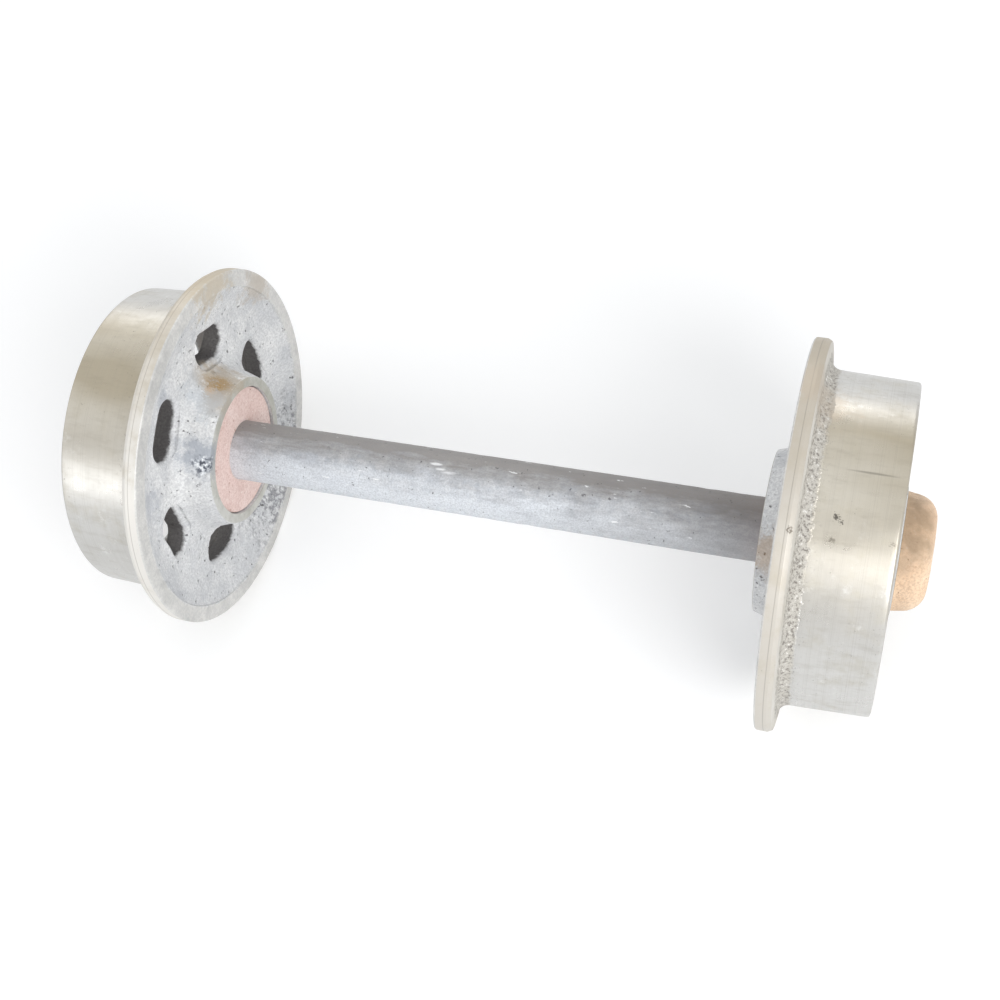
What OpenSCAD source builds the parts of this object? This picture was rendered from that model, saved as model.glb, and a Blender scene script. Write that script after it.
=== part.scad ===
// Mine car wheelset for 600 mm track: two cast wheels that turn on a fixed axle.
// X runs along the axle, Y along the track and Z up. The origin is the middle of the axle.
// Every piece of one end is drawn along Z first, with height 0 at the inner face of the
// wheel's flange and height growing outwards, and is then laid along the axle.

/* [Track] */
// Distance between the inner faces of the two flanges
back_to_back = 560; // [520:5:640]

/* [Wheel rim] */
// Tread diameter at the outer edge
tread_d = 300; // [290:2:330]
// Slope of the tread in degrees
tread_slope = 2; // [0:0.5:3]
// Width of the wheel from flange face to outer face
wheel_w = 96; // [92:1:104]
// Height of the flange above the outer edge of the tread
flange_h = 29; // [25:1:33]
// Thickness of the flange at its tip
flange_t = 15; // [12:1:18]
// How much thicker the flange gets towards its root
flange_draft = 2; // [1:0.5:4]
// Rounding between flange and tread
root_r = 9; // [6:1:12]
// Rounding of the outer edge of the tread
edge_r = 3; // [1:0.5:4]
// Rounding of the flange's tip
tip_r = 2; // [1:0.5:3]
// Thickness of the rim at its outer face
rim_t = 19; // [17:1:22]
// How much thicker the rim gets towards the web
rim_draft = 2; // [1:0.5:3]
// Width of the flat turned ring on the flange's inner face
ring_w = 17; // [12:1:20]
// Step from the turned ring down to the rough casting
ring_step = 2.5; // [1:0.5:4]

/* [Web] */
// Depth of the web below the flange's inner face
web_depth = 14; // [11:1:16]
// Thickness of the web
web_t = 22; // [19:1:23]
// Slope of the dish between the web and the turned ring, in degrees
dish_slope = 22; // [18:1:28]
// Rounding at the bottom of the dish
dish_r = 20; // [12:1:24]
// Rounding in the corners of the outer recess
recess_r = 11; // [7:1:12]
// Number of holes in the web
hole_n = 6; // [4:1:6]
// Distance from the axle's line to the middle of a hole
hole_pitch_r = 107; // [104:1:108]
// Width of a hole, measured away from the axle
hole_w = 34; // [28:1:36]
// Length of a hole, measured around the axle
hole_l = 60; // [44:1:64]
// Rounding of the holes' edges
hole_edge_r = 5; // [3:0.5:6]
// Angle of the first hole above level
hole_turn = 52; // [0:1:59]

/* [Hub] */
// Diameter of the hub's inboard end
hub_in_d = 149; // [146:1:154]
// How far the hub stands inboard of the flange
hub_in_out = 19; // [17:1:22]
// Slope of the hub's inboard flank, in degrees
hub_flank = 18; // [10:1:20]
// Rounding between the hub's inboard flank and the web
hub_in_r = 14; // [9:1:15]
// Diameter of the hub's outboard end
hub_out_d = 118; // [116:1:124]
// How far the hub stands outboard of the tread
hub_out_out = 3; // [2:0.5:6]
// How much the hub's outboard barrel widens towards the web
hub_draft = 2; // [0.5:0.5:3]
// Rounding of the hub's end edges
hub_edge_r = 2; // [1:0.5:3]
// Diameter of the shoulder between the two bearings
land_d = 80; // [78:1:82]
// Diameter of the grease room between the bearings
grease_d = 98; // [92:1:100]
// Length of the grease room
grease_l = 14; // [12:0.5:15]

/* [Axle] */
// Diameter of the axle between the wheels
axle_d = 60; // [58:1:62]
// Diameter of the axle between the two bearings
waist_d = 46; // [43:1:48]
// Diameter of the threaded ends
thread_d = 36; // [33:1:38]
// Length of thread past the castle nut
thread_over = 1; // [0.5:0.5:1.5]
// Chamfer at the axle's steps
axle_edge = 1; // [0.5:0.5:1.5]
// Width of the key slot for the tab washer
key_w = 8; // [6:0.5:9]
// Depth of the key slot
key_depth = 3; // [2:0.5:3.5]

/* [Inner bearing] */
// Bore
in_bore = 50; // [49:0.5:52]
// Outside diameter
in_outer_d = 110; // [108:1:112]
// Height over cup and cone
in_height = 29.25; // [28.5:0.25:31]
// Height of the cone
in_cone_h = 27; // [26:0.5:28]
// Height of the cup
in_cup_h = 23; // [22:0.5:24]
// Number of rollers
in_rollers = 16; // [12:1:16]
// Where the cone's back face stands, outboard of the flange's inner face
in_seat = 7; // [6:0.5:8]

/* [Outer bearing] */
// Bore
out_bore = 40; // [39:0.5:42]
// Outside diameter
out_outer_d = 90; // [89:1:92]
// Height over cup and cone
out_height = 25.25; // [24.5:0.25:27]
// Height of the cone
out_cone_h = 23; // [22:0.5:24]
// Height of the cup
out_cup_h = 20; // [19:0.5:21]
// Number of rollers
out_rollers = 14; // [10:1:14]
// How deep the cone's back face lies inside the hub's outboard end
out_set = 11; // [10:0.5:12]

/* [Rollers and cages] */
// Slope of the rollers' own axis, in degrees
roller_slope = 11; // [10:0.5:12]
// Half of the rollers' own taper, in degrees
roller_taper = 2; // [1.8:0.05:2.1]
// Length of a roller as a share of its bearing's height
roller_share = 0.62; // [0.55:0.01:0.65]
// Height of the rollers' big ends above the cone's back face
roller_foot = 5; // [4.5:0.25:5.5]
// Height of the ribs above the cone's track
rib_h = 3; // [2:0.25:3.5]
// Gap between a roller and its tracks
race_gap = 0.3; // [0.2:0.05:0.4]
// Thickness of the cages' sheet
cage_t = 1.6; // [1.2:0.1:2]
// How far the cage lies outside the rollers' middles
cage_out = 3.6; // [3:0.1:4]
// Gap between a roller and its window in the cage
cage_gap = 0.3; // [0.2:0.05:0.4]
// How far a cage reaches past each end of its rollers
cage_reach = 2.2; // [1.8:0.1:2.4]

/* [Labyrinth ring and oil seal] */
// Thickness of the ring's disc
disc_t = 10; // [8:0.5:11]
// How deep the disc lies in the mouth of the hub
disc_set = 2.7; // [1:0.1:3.5]
// Diameter of the hub's mouth
mouth_d = 130; // [128:0.5:131]
// Running gap round the disc
disc_gap = 0.9; // [0.6:0.1:1.2]
// Gap between the disc and the bottom of the mouth
mouth_gap = 1.3; // [0.8:0.1:2]
// Chamfer on the disc's rim
disc_edge = 1; // [0.5:0.25:1.5]
// Diameter of the ring's sleeve
sleeve_d = 76; // [74:0.5:77]
// Height of the oil seal
seal_h = 11; // [10:0.5:11.5]
// Wall of the seal's case
seal_wall = 4; // [3:0.5:5]
// Running gap between the seal's lip and the sleeve
lip_gap = 0.3; // [0.2:0.05:0.4]
// Thickness of the garter spring
spring_d = 2.4; // [2:0.1:2.8]

/* [End cap] */
// Diameter of the cap at its foot
cap_d = 108; // [104:1:110]
// How far the cap stands out of the hub
cap_out = 29; // [28:0.5:34]
// Rounding of the cap's shoulder
cap_shoulder_r = 20; // [14:1:22]
// Slope of the cap's side, in degrees
cap_slope = 9; // [5:1:12]
// How much the cap's face swells in the middle
cap_crown = 1.5; // [1:0.25:2.5]
// Wall of the cap
cap_wall = 4; // [3.5:0.25:4.5]
// Length of the spigot in the hub's bore
spigot_l = 8; // [6:0.5:10]

/* [Nut, washer and pin] */
// Width of the castle nut across its flats
nut_s = 55; // [52:1:58]
// Height of the castle nut
nut_h = 26; // [24:0.5:27]
// How far inside its flats the nut's chamfers start
nut_edge = 1; // [0.5:0.25:1.5]
// Height of its castle
castle_h = 8; // [7.75:0.25:9]
// Diameter of its castle
castle_d = 50; // [46:1:51]
// Width of the slots in its castle
slot_w = 7; // [6.8:0.1:8]
// Depth of the slots in its castle
slot_depth = 7.5; // [7:0.25:7.5]
// Outside diameter of the tab washer
washer_d = 60; // [56:1:64]
// Thickness of the tab washer
washer_t = 4; // [3:0.25:4.5]
// Play of the washer on the thread
washer_play = 0.4; // [0.2:0.1:0.6]
// Diameter of the split pin
pin_d = 6; // [5:0.25:6.3]
// Play of the split pin in its hole
pin_play = 0.4; // [0.2:0.1:0.6]
// How far the split pin stands out of the castle
pin_out = 3; // [2:0.5:4]

/* [Grease plug] */
// Diameter of the plug's thread
plug_d = 12; // [10:0.5:13]
// How far the plug reaches into the hub's wall
plug_l = 9; // [7:0.5:9.5]
// Thickness of the plug's head
plug_head_t = 5; // [4:0.5:6]
// Diameter of the plug's head
plug_head_d = 18; // [16:0.5:20]
// Width of the key hole in the plug, across its flats
plug_key = 6; // [5:0.5:7]
// Depth of the flat seat cut in the hub's barrel for the plug's head
seat_cut = 1.5; // [1:0.25:2]
// Room in the seat round the plug's head
seat_room = 1; // [0.5:0.25:1.5]
// Angle of the plug round the hub, above level; it hangs at the bottom when the wheel is at rest
plug_turn = 270; // [250:5:290]

/* [Hidden] */
$fn = 96;
// A cut reaches this far past what it cuts
past = 1;
// Steps in a rounding, and in the small rounding of a web hole's edge
steps = 6;
edge_steps = 4;
// A web hole's rounding stops this many degrees short of level, so that it cuts a clean edge
edge_stop = 8;

half_back = back_to_back / 2;
tread_r = tread_d / 2;
flange_r = tread_r + flange_h;
hub_face = wheel_w + hub_out_out;
web_out = web_depth + web_t;

// Places of the two bearings, as heights above the flange's inner face
in_cup_top = in_seat + in_height;
out_seat = hub_face - out_set;
out_cup_foot = out_seat - out_height;
land_mid = (in_cup_top + out_cup_foot) / 2;
// Circles through the middles of each bearing's rollers
in_pitch_d = (in_bore + in_outer_d) / 2;
out_pitch_d = (out_bore + out_outer_d) / 2;

// Disc, mouth and seal
disc_foot = -hub_in_out + disc_set;
disc_top = disc_foot + disc_t;
mouth_floor = disc_top + mouth_gap;
disc_r = mouth_d / 2 - disc_gap;
seal_foot = mouth_floor + 1;

// Washer, nut and end of the axle
nut_foot = out_seat + washer_t;
nut_top = nut_foot + nut_h;
pin_z = nut_top - slot_depth + slot_w / 2;
axle_end = nut_top + thread_over;

// Points on an arc about a centre, from one angle to another
function arc(centre, r, from, to, n = steps) =
    [for (i = [0:n]) let (a = from + (to - from) * i / n) centre + r * [cos(a), sin(a)]];

// Lays what is drawn along Z at the left or the right end of the axle
module left_end() rotate([0, -90, 0]) translate([0, 0, half_back]) children();
module right_end() mirror([1, 0, 0]) left_end() children();

// Hub and web on the inboard side, from the mouth's edge out to the turned ring
function inboard_side() =
    let (
        hub_r = hub_in_d / 2,
        foot = -hub_in_out + hub_edge_r,
        bend_z = web_depth - hub_in_r,
        bend_low = bend_z + hub_in_r * sin(hub_flank),
        bend_x = hub_r + tan(hub_flank) * (bend_low - foot) + hub_in_r * cos(hub_flank),
        ring_r = flange_r - ring_w,
        dish_drop = web_depth - dish_r * (1 - cos(dish_slope)) - ring_step,
        dish_x = ring_r - dish_r * sin(dish_slope) - dish_drop / tan(dish_slope)
    )
    concat(
        arc([hub_r - hub_edge_r, foot], hub_edge_r, 270, 360),
        arc([bend_x, bend_z], hub_in_r, 180 - hub_flank, 90),
        arc([dish_x, web_depth - dish_r], dish_r, 90, 90 - dish_slope),
        [[ring_r, ring_step], [ring_r + ring_step / 5, 0]]
    );

// Flange and tread
function running_side() =
    let (
        root_z = flange_t + flange_draft + root_r,
        tread_rise = tan(tread_slope) * (wheel_w - edge_r - root_z),
        root_x = tread_r + tread_rise + root_r
    )
    concat(
        arc([flange_r - tip_r, tip_r], tip_r, 270, 360),
        arc([flange_r - tip_r, flange_t - tip_r], tip_r, 0, 90),
        arc([root_x, root_z], root_r, 270, 180),
        arc([tread_r - edge_r, wheel_w - edge_r], edge_r, 0, 90)
    );

// Outer face of the rim, the recess behind it and the outboard barrel of the hub
function outboard_side() =
    let (
        rim_foot = tread_r - rim_t - rim_draft,
        barrel_foot = hub_out_d / 2 + hub_draft
    )
    concat(
        [[tread_r - rim_t, wheel_w]],
        arc([rim_foot - recess_r, web_out + recess_r], recess_r, 0, -90),
        arc([barrel_foot + recess_r, web_out + recess_r], recess_r, 270, 180),
        arc([hub_out_d / 2 - hub_edge_r, hub_face - hub_edge_r], hub_edge_r, 0, 90)
    );

// Stepped bore of the hub, from the outboard end back to the mouth
function bore_side() = [
    [out_outer_d / 2, hub_face],
    [out_outer_d / 2, out_cup_foot],
    [land_d / 2, out_cup_foot],
    [land_d / 2, land_mid + grease_l / 2],
    [grease_d / 2, land_mid + grease_l / 2],
    [grease_d / 2, land_mid - grease_l / 2],
    [land_d / 2, land_mid - grease_l / 2],
    [land_d / 2, in_cup_top],
    [in_outer_d / 2, in_cup_top],
    [in_outer_d / 2, mouth_floor],
    [mouth_d / 2, mouth_floor],
    [mouth_d / 2, -hub_in_out],
];

// Section of a web hole across its width: straight in the web, rounded at both faces
module hole_section() {
    lip_x = hole_w / 2 + hole_edge_r;
    wide = lip_x - hole_edge_r * sin(edge_stop);
    polygon(concat(
        [[0, web_depth - web_t], [wide, web_depth - web_t]],
        arc([lip_x, web_depth + hole_edge_r], hole_edge_r, 270 - edge_stop, 180, edge_steps),
        arc([lip_x, web_out - hole_edge_r], hole_edge_r, 180, 90 + edge_stop, edge_steps),
        [[wide, web_out + web_t], [0, web_out + web_t]]
    ));
}

// One long hole with rounded edges, lying across the radius
module web_hole() {
    reach = (hole_l - hole_w) / 2;
    for (side = [-1, 1]) translate([hole_pitch_r, side * reach, 0]) rotate_extrude() hole_section();
    translate([hole_pitch_r, reach, 0]) rotate([90, 0, 0]) linear_extrude(2 * reach) {
        hole_section();
        mirror([1, 0]) hole_section();
    }
}

// Lays what is drawn along Z out from the seat of the grease plug's head
module at_plug_seat() {
    seat_r = hub_out_d / 2 + hub_draft - seat_cut;
    rotate([0, 0, 90 - plug_turn]) translate([seat_r, 0, land_mid]) rotate([0, 90, 0]) children();
}

// Threaded hole through the hub's wall into the grease room, with a flat seat round it
module plug_hole() {
    wall = hub_out_d / 2 - grease_d / 2 + hub_draft;
    at_plug_seat() {
        translate([0, 0, -wall]) cylinder(h = wall + past, d = plug_d, $fn = 48);
        cylinder(h = plug_head_t + past, d = plug_head_d + 2 * seat_room, $fn = 48);
    }
}

// One steel casting, turned on its tread, flange, ring and bore
module wheel_casting() {
    outline = concat(inboard_side(), running_side(), outboard_side(), bore_side());
    color("lightgray") difference() {
        rotate_extrude($fn = 180) polygon(outline);
        for (i = [0:hole_n - 1]) rotate([0, 0, 90 - hole_turn + 360 / hole_n * i]) web_hole();
        plug_hole();
    }
}

// Half of the axle's outline, from its middle to its left end
function axle_half() =
    let (waist_foot = in_seat + in_cone_h + axle_edge, out_foot = out_seat - out_cone_h - axle_edge)
    [
        [axle_d / 2, in_seat - axle_edge],
        [axle_d / 2 - axle_edge, in_seat],
        [in_bore / 2, in_seat],
        [in_bore / 2, waist_foot],
        [waist_d / 2, waist_foot],
        [waist_d / 2, out_foot - axle_edge],
        [out_bore / 2, out_foot],
        [out_bore / 2, out_seat - axle_edge],
        [thread_d / 2, out_seat - axle_edge],
        [thread_d / 2, axle_end - 2 * axle_edge],
        [thread_d / 2 - 2 * axle_edge, axle_end],
    ];

// Key slot and split pin hole at one end of the axle
module axle_end_cuts() {
    translate([thread_d / 2 - key_depth, -key_w / 2, out_seat - axle_edge])
        cube([key_depth + past, key_w, axle_end]);
    translate([0, 0, pin_z]) rotate([90, 0, 0])
        cylinder(h = thread_d + 2 * past, d = pin_d + pin_play, center = true, $fn = 48);
}

// Round bar, turned down in steps at both ends
module axle() {
    half = axle_half();
    last = len(half) - 1;
    outline = concat(
        [[0, half_back + axle_end]],
        [for (i = [last:-1:0]) [half[i][0], half_back + half[i][1]]],
        [for (p = half) [p[0], -half_back - p[1]]],
        [[0, -half_back - axle_end]]
    );
    color("slategray") difference() {
        rotate([0, -90, 0]) rotate_extrude() polygon(outline);
        left_end() axle_end_cuts();
        right_end() axle_end_cuts();
    }
}

// Painted steel ring, shrunk on the axle, that closes the mouth of the hub
module labyrinth_ring() {
    color("lightsalmon") rotate_extrude() polygon([
        [axle_d / 2, disc_foot],
        [disc_r - disc_edge, disc_foot],
        [disc_r, disc_foot + disc_edge],
        [disc_r, disc_top - disc_edge],
        [disc_r - disc_edge, disc_top],
        [sleeve_d / 2, disc_top],
        [sleeve_d / 2, in_seat],
        [axle_d / 2, in_seat],
    ]);
}

// Oil seal pressed in the hub: a case, a floor and a lip that rides on the ring's sleeve
module oil_seal() {
    case_r = in_outer_d / 2;
    lip_r = sleeve_d / 2 + lip_gap;
    floor_t = seal_wall / 2;
    neck_r = lip_r + spring_d + seal_wall / 2;
    color("dimgray") difference() {
        rotate_extrude() polygon([
            [lip_r + floor_t, seal_foot],
            [case_r, seal_foot],
            [case_r, seal_foot + seal_h],
            [case_r - seal_wall, seal_foot + seal_h],
            [case_r - seal_wall, seal_foot + floor_t],
            [neck_r, seal_foot + floor_t],
            [neck_r, seal_foot + seal_h - floor_t],
            [lip_r + floor_t, seal_foot + seal_h - floor_t],
            [lip_r, seal_foot + seal_h - seal_wall],
        ]);
        rotate_extrude() translate([neck_r, seal_foot + seal_h - seal_wall]) circle(d = spring_d, $fn = 32);
    }
}

// Ring spring that presses the seal's lip on the sleeve
module garter_spring() {
    ring_r = sleeve_d / 2 + lip_gap + spring_d + seal_wall / 2;
    color("silver") rotate_extrude() translate([ring_r, seal_foot + seal_h - seal_wall])
        circle(d = spring_d, $fn = 32);
}

// The bearings are drawn with the cone's back face at height 0 and the small ends up.
// All the tracks of one bearing meet in one point on the axle's line, the apex.
function roller_mid(h) = roller_foot + roller_share * h / 2 * cos(roller_slope);
function apex(h, pitch_d) = roller_mid(h) + pitch_d / 2 / tan(roller_slope);
// Radius at a height of a cone about the axle's line that ends in the apex
function track_r(h, pitch_d, slope, z) = (apex(h, pitch_d) - z) * tan(slope);
function cup_slope() = roller_slope + roller_taper;
function cone_slope() = roller_slope - roller_taper;
// Height, at a radius, of a face that lies just under the rollers' leaning big ends
function rib_z(h, pitch_d, r) =
    let (end_r = pitch_d / 2 + roller_share * h / 2 * sin(roller_slope))
    roller_foot - race_gap / cos(roller_slope) + (r - end_r) * tan(roller_slope);

// Cup: plain outside, one sloping track inside
module bearing_cup(od, h, cup_h, pitch_d) {
    gap = race_gap / cos(cup_slope());
    low = h - cup_h;
    color("gainsboro") rotate_extrude() polygon([
        [track_r(h, pitch_d, cup_slope(), low) + gap, low],
        [od / 2, low],
        [od / 2, h],
        [track_r(h, pitch_d, cup_slope(), h) + gap, h],
    ]);
}

// Cone: plain bore, one sloping track between a big rib and a small rib
module bearing_cone(bore, h, cone_h, pitch_d) {
    gap = race_gap / cos(cone_slope());
    track_end = roller_foot + roller_share * h * cos(roller_slope) + 2 * race_gap;
    foot_z = rib_z(h, pitch_d, track_r(h, pitch_d, cone_slope(), roller_foot));
    foot_r = track_r(h, pitch_d, cone_slope(), foot_z) - gap;
    end_r = track_r(h, pitch_d, cone_slope(), track_end) - gap;
    rib_r = foot_r + rib_h;
    color("gainsboro") rotate_extrude() polygon([
        [bore / 2, 0],
        [rib_r, 0],
        [rib_r, rib_z(h, pitch_d, rib_r)],
        [foot_r, foot_z],
        [end_r, track_end],
        [end_r + rib_h / 3, track_end],
        [end_r + rib_h / 3, cone_h],
        [bore / 2, cone_h],
    ]);
}

// Rollers, each a length of a slim cone that points at the apex
module bearing_rollers(h, pitch_d, count, extra = 0) {
    slant = pitch_d / 2 / sin(roller_slope);
    length = roller_share * h + 2 * extra;
    big_r = (slant + length / 2) * tan(roller_taper) + extra;
    small_r = (slant - length / 2) * tan(roller_taper) + extra;
    color("whitesmoke") for (i = [0:count - 1]) {
        rotate([0, 0, 360 / count * i]) translate([0, 0, apex(h, pitch_d)]) rotate([0, 180 - roller_slope, 0])
            translate([0, 0, slant - length / 2]) cylinder(h = length, r1 = small_r, r2 = big_r, $fn = 48);
    }
}

// Cage: a sheet steel cone with a window for each roller
module bearing_cage(h, pitch_d, count) {
    half = roller_share * h / 2 * cos(roller_slope) + cage_reach;
    low = roller_mid(h) - half;
    high = roller_mid(h) + half;
    low_r = pitch_d / 2 + cage_out + half * tan(roller_slope);
    high_r = pitch_d / 2 + cage_out - half * tan(roller_slope);
    sheet = [[low_r - cage_t, low], [low_r, low], [high_r, high], [high_r - cage_t, high]];
    color("darkgoldenrod") difference() {
        rotate_extrude() polygon(sheet);
        bearing_rollers(h, pitch_d, count, cage_gap);
    }
}

// The inner bearing's back face looks inboard, the outer one's looks outboard
module at_inner() translate([0, 0, in_seat]) children();
module at_outer() translate([0, 0, out_seat]) mirror([0, 0, 1]) children();

module inner_cup() at_inner() bearing_cup(in_outer_d, in_height, in_cup_h, in_pitch_d);
module inner_cone() at_inner() bearing_cone(in_bore, in_height, in_cone_h, in_pitch_d);
module inner_cage() at_inner() bearing_cage(in_height, in_pitch_d, in_rollers);
module inner_rollers() at_inner() bearing_rollers(in_height, in_pitch_d, in_rollers);
module outer_cup() at_outer() bearing_cup(out_outer_d, out_height, out_cup_h, out_pitch_d);
module outer_cone() at_outer() bearing_cone(out_bore, out_height, out_cone_h, out_pitch_d);
module outer_cage() at_outer() bearing_cage(out_height, out_pitch_d, out_rollers);
module outer_rollers() at_outer() bearing_rollers(out_height, out_pitch_d, out_rollers);

// Washer with one tab that sits in the axle's key slot
module tab_washer() {
    bore_r = thread_d / 2 + washer_play;
    tab_w = key_w - 2 * washer_play;
    tab_in = thread_d / 2 - key_depth + washer_play;
    color("silver") translate([0, 0, out_seat]) linear_extrude(washer_t) {
        difference() {
            circle(d = washer_d);
            circle(r = bore_r);
        }
        translate([tab_in, -tab_w / 2]) square([washer_d / 2 - tab_in - past, tab_w]);
    }
}

// Castle nut: chamfered hexagon below, round castle with six slots above
module castle_nut() {
    hex_h = nut_h - castle_h;
    corner_r = nut_s / 2 / cos(30);
    face_r = nut_s / 2 - nut_edge;
    wide_r = corner_r + past;
    fall = (wide_r - face_r) / 2;
    color("silver") translate([0, 0, nut_foot]) difference() {
        union() {
            intersection() {
                cylinder(h = hex_h, r = corner_r, $fn = 6);
                rotate_extrude() polygon([
                    [0, 0], [face_r, 0], [wide_r, fall], [wide_r, hex_h - fall], [face_r, hex_h], [0, hex_h],
                ]);
            }
            cylinder(h = nut_h, d = castle_d);
        }
        translate([0, 0, -past]) cylinder(h = nut_h + 2 * past, d = thread_d);
        for (i = [0:2]) rotate([0, 0, 30 + 60 * i])
            translate([-nut_s, -slot_w / 2, nut_h - slot_depth]) cube([2 * nut_s, slot_w, castle_h]);
    }
}

// Split pin: a round shank through nut and axle, an eye, and two legs bent apart
module split_pin() {
    reach = castle_d / 2 + pin_out;
    leg_r = pin_d / 4;
    eye_r = pin_d * 0.7;
    leg_l = castle_d / 5;
    color("silver") translate([0, 0, pin_z]) rotate([90, 0, 0]) {
        cylinder(h = 2 * reach, d = pin_d, center = true, $fn = 32);
        translate([0, 0, -reach - eye_r]) rotate([90, 0, 0])
            rotate_extrude($fn = 48) translate([eye_r, 0]) circle(r = leg_r, $fn = 24);
        for (side = [-1, 1]) translate([side * leg_r, 0, reach - leg_r]) rotate([0, side * 60, 0])
            cylinder(h = leg_l, r = leg_r, $fn = 24);
    }
}

// Outline of the cap's outside or inside, from its foot to the middle of its face
function cap_outline(foot_r, shoulder_r, height, foot_z) =
    let (
        shoulder_z = hub_face + height - cap_crown - shoulder_r,
        shoulder_low = shoulder_z + shoulder_r * sin(cap_slope),
        shoulder_x = foot_r - tan(cap_slope) * (shoulder_low - hub_face) - shoulder_r * cos(cap_slope)
    )
    concat(
        [[foot_r - tan(cap_slope) * (foot_z - hub_face), foot_z]],
        arc([shoulder_x, shoulder_z], shoulder_r, cap_slope, 90),
        [[shoulder_x / 2, hub_face + height - cap_crown / 4], [0, hub_face + height]]
    );

// Painted cap, a hollow dome with a spigot pressed in the hub's bore
module end_cap() {
    spigot_r = out_outer_d / 2;
    spigot_foot = hub_face - spigot_l;
    foot_r = cap_d / 2;
    outside = cap_outline(foot_r, cap_shoulder_r, cap_out, hub_face);
    inside = cap_outline(foot_r - cap_wall, cap_shoulder_r - cap_wall, cap_out - cap_wall, hub_face + cap_wall);
    color("peachpuff") rotate_extrude() polygon(concat(
        [[spigot_r - cap_wall, spigot_foot], [spigot_r, spigot_foot], [spigot_r, hub_face]],
        outside,
        [for (i = [len(inside) - 1:-1:0]) inside[i]],
        [[spigot_r - cap_wall, hub_face + cap_wall]]
    ));
}

// Screw plug with a round head and a hexagon key hole
module grease_plug() {
    color("dimgray") at_plug_seat() difference() {
        union() {
            translate([0, 0, -plug_l]) cylinder(h = plug_l + past, d = plug_d, $fn = 48);
            cylinder(h = plug_head_t, d = plug_head_d, $fn = 48);
        }
        cylinder(h = plug_head_t + past, r = plug_key / 2 / cos(30), $fn = 6);
    }
}

axle();
left_end() wheel_casting();  // left_wheel
right_end() wheel_casting();  // right_wheel
left_end() labyrinth_ring();  // left_labyrinth_ring
right_end() labyrinth_ring();  // right_labyrinth_ring
left_end() oil_seal();  // left_oil_seal
right_end() oil_seal();  // right_oil_seal
left_end() garter_spring();  // left_garter_spring
right_end() garter_spring();  // right_garter_spring
left_end() inner_cup();  // left_inner_cup
right_end() inner_cup();  // right_inner_cup
left_end() inner_cone();  // left_inner_cone
right_end() inner_cone();  // right_inner_cone
left_end() inner_cage();  // left_inner_cage
right_end() inner_cage();  // right_inner_cage
left_end() inner_rollers();  // left_inner_rollers
right_end() inner_rollers();  // right_inner_rollers
left_end() outer_cup();  // left_outer_cup
right_end() outer_cup();  // right_outer_cup
left_end() outer_cone();  // left_outer_cone
right_end() outer_cone();  // right_outer_cone
left_end() outer_cage();  // left_outer_cage
right_end() outer_cage();  // right_outer_cage
left_end() outer_rollers();  // left_outer_rollers
right_end() outer_rollers();  // right_outer_rollers
left_end() tab_washer();  // left_tab_washer
right_end() tab_washer();  // right_tab_washer
left_end() castle_nut();  // left_castle_nut
right_end() castle_nut();  // right_castle_nut
left_end() split_pin();  // left_split_pin
right_end() split_pin();  // right_split_pin
left_end() end_cap();  // left_end_cap
right_end() end_cap();  // right_end_cap
left_end() grease_plug();  // left_grease_plug
right_end() grease_plug();  // right_grease_plug
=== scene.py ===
import math

import bmesh
import bpy
from mathutils import Matrix, Vector, noise


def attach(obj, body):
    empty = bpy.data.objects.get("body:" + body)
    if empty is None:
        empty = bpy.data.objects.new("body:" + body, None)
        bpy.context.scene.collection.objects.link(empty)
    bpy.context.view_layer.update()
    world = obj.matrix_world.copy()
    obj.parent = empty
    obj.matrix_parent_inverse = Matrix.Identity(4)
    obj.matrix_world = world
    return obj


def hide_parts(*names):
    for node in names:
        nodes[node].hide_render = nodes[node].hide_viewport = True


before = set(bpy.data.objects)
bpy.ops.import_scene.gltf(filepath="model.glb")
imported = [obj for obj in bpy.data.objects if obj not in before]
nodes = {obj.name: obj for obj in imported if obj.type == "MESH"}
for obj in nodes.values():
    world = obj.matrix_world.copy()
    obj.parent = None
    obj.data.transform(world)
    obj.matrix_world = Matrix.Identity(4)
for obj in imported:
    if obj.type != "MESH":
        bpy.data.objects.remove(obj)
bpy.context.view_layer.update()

# Studio: a pale floor that the flanges stand on, white all round, two large soft lamps in
# front of the wheels and a long one low behind them, which draws a bright line on the treads.
# The camera looks steeply down along the photograph's line of sight.
FLOOR_Z = -0.1792
CAMERA_AT = (0.352804, -0.550667, 1.176813)
CAMERA_RIGHT = (0.955093, 0.245663, -0.165674)
CAMERA_UP = (-0.149132, 0.881687, 0.447647)
CAMERA_BACK = (0.256043, -0.402837, 0.878729)
CAMERA_LENS = 50.5
# Lamps: (name, place, width, height, watts); each faces the middle of the axle
LAMPS = (
    ("front_lamp", (1.5, -1.5, 1.8), 1.4, 1.2, 34),
    ("left_lamp", (-1.6, -2.0, 0.9), 1.3, 0.9, 3.8),
    ("back_lamp", (-0.5, 2.3, 0.85), 3.4, 0.5, 9.5),
)


def plug_in(node, inputs):
    """Sets a node's inputs, or links them where the value comes from another node"""
    for name, value in inputs.items():
        if isinstance(value, bpy.types.NodeSocket):
            node.id_data.links.new(value, node.inputs[name])
        else:
            node.inputs[name].default_value = value


def add(tree, kind, inputs=None, **settings):
    """Adds a node with its settings and inputs"""
    made = tree.nodes.new(kind)
    for name, value in settings.items():
        setattr(made, name, value)
    plug_in(made, inputs or {})
    return made


def tree_of(*values):
    """The node tree of the first value that comes from a node"""
    return next(value.id_data for value in values if isinstance(value, bpy.types.NodeSocket))


def maths(operation, one, two=0.0, clamp=False):
    tree = tree_of(one, two)
    return add(tree, "ShaderNodeMath", {0: one, 1: two}, operation=operation, use_clamp=clamp).outputs[0]


def times(one, two, clamp=False):
    return maths("MULTIPLY", one, two, clamp)


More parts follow.
